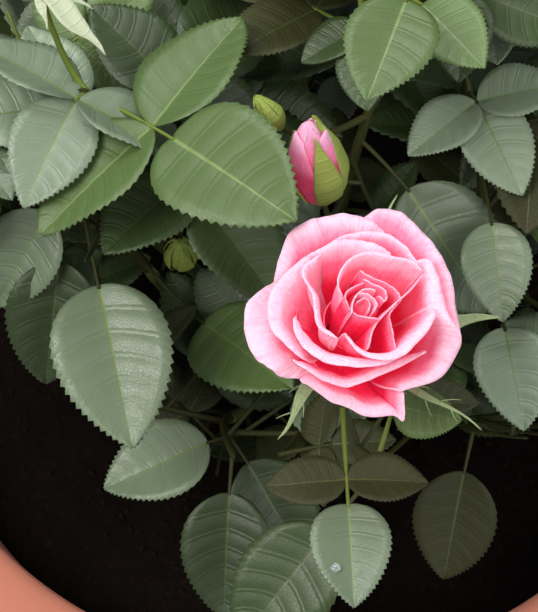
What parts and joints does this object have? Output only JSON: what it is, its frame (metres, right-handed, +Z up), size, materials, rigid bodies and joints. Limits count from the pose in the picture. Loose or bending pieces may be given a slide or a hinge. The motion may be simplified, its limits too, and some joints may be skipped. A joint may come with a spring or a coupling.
{
  "type": "potted rose bush",
  "caption": "Rose bush in a round terracotta pot, with canes from a short stem, masses of compound leaves, buds and an open double bloom.",
  "frame": {"origin": "centre of the pot's flat underside", "axes": "+Z up along the pot's axis, -Y towards the viewer, +X to the viewer's right"},
  "size_m": [0.338, 0.3413, 0.4886],
  "materials": {
    "terracotta": "dry fired clay, salmon orange with pale bloom",
    "soil": "moist dark peaty potting soil",
    "woody_stem": "grey brown bark",
    "green_cane": "smooth green bark with prickles",
    "foliage": "satin green leaves",
    "bloom": "velvety pink petals, paler at their lips"
  },
  "bodies": {
    "root": {"pot": "terracotta", "soil": "soil", "short_stem": "woody_stem", "cane_front": "green_cane", "cane_front_left": "green_cane", "cane_front_right": "green_cane", "cane_left": "green_cane", "cane_upper_left": "green_cane", "cane_centre": "green_cane", "cane_right": "green_cane", "cane_outer_left": "green_cane", "cane_outer_right": "green_cane", "cane_back_left": "green_cane", "cane_back": "green_cane", "cane_back_right": "green_cane", "cane_outer_back": "green_cane", "leaves_front": "foliage", "leaves_front_left": "foliage", "leaves_front_right": "foliage", "leaves_left": "foliage", "leaves_upper_left": "foliage", "leaves_centre": "foliage", "leaves_right": "foliage", "leaves_outer_left": "foliage", "leaves_outer_right": "foliage", "leaves_back_left": "foliage", "leaves_back": "foliage", "leaves_back_right": "foliage", "leaves_outer_back": "foliage", "bloom": "bloom"}
  },
  "joints": []
}
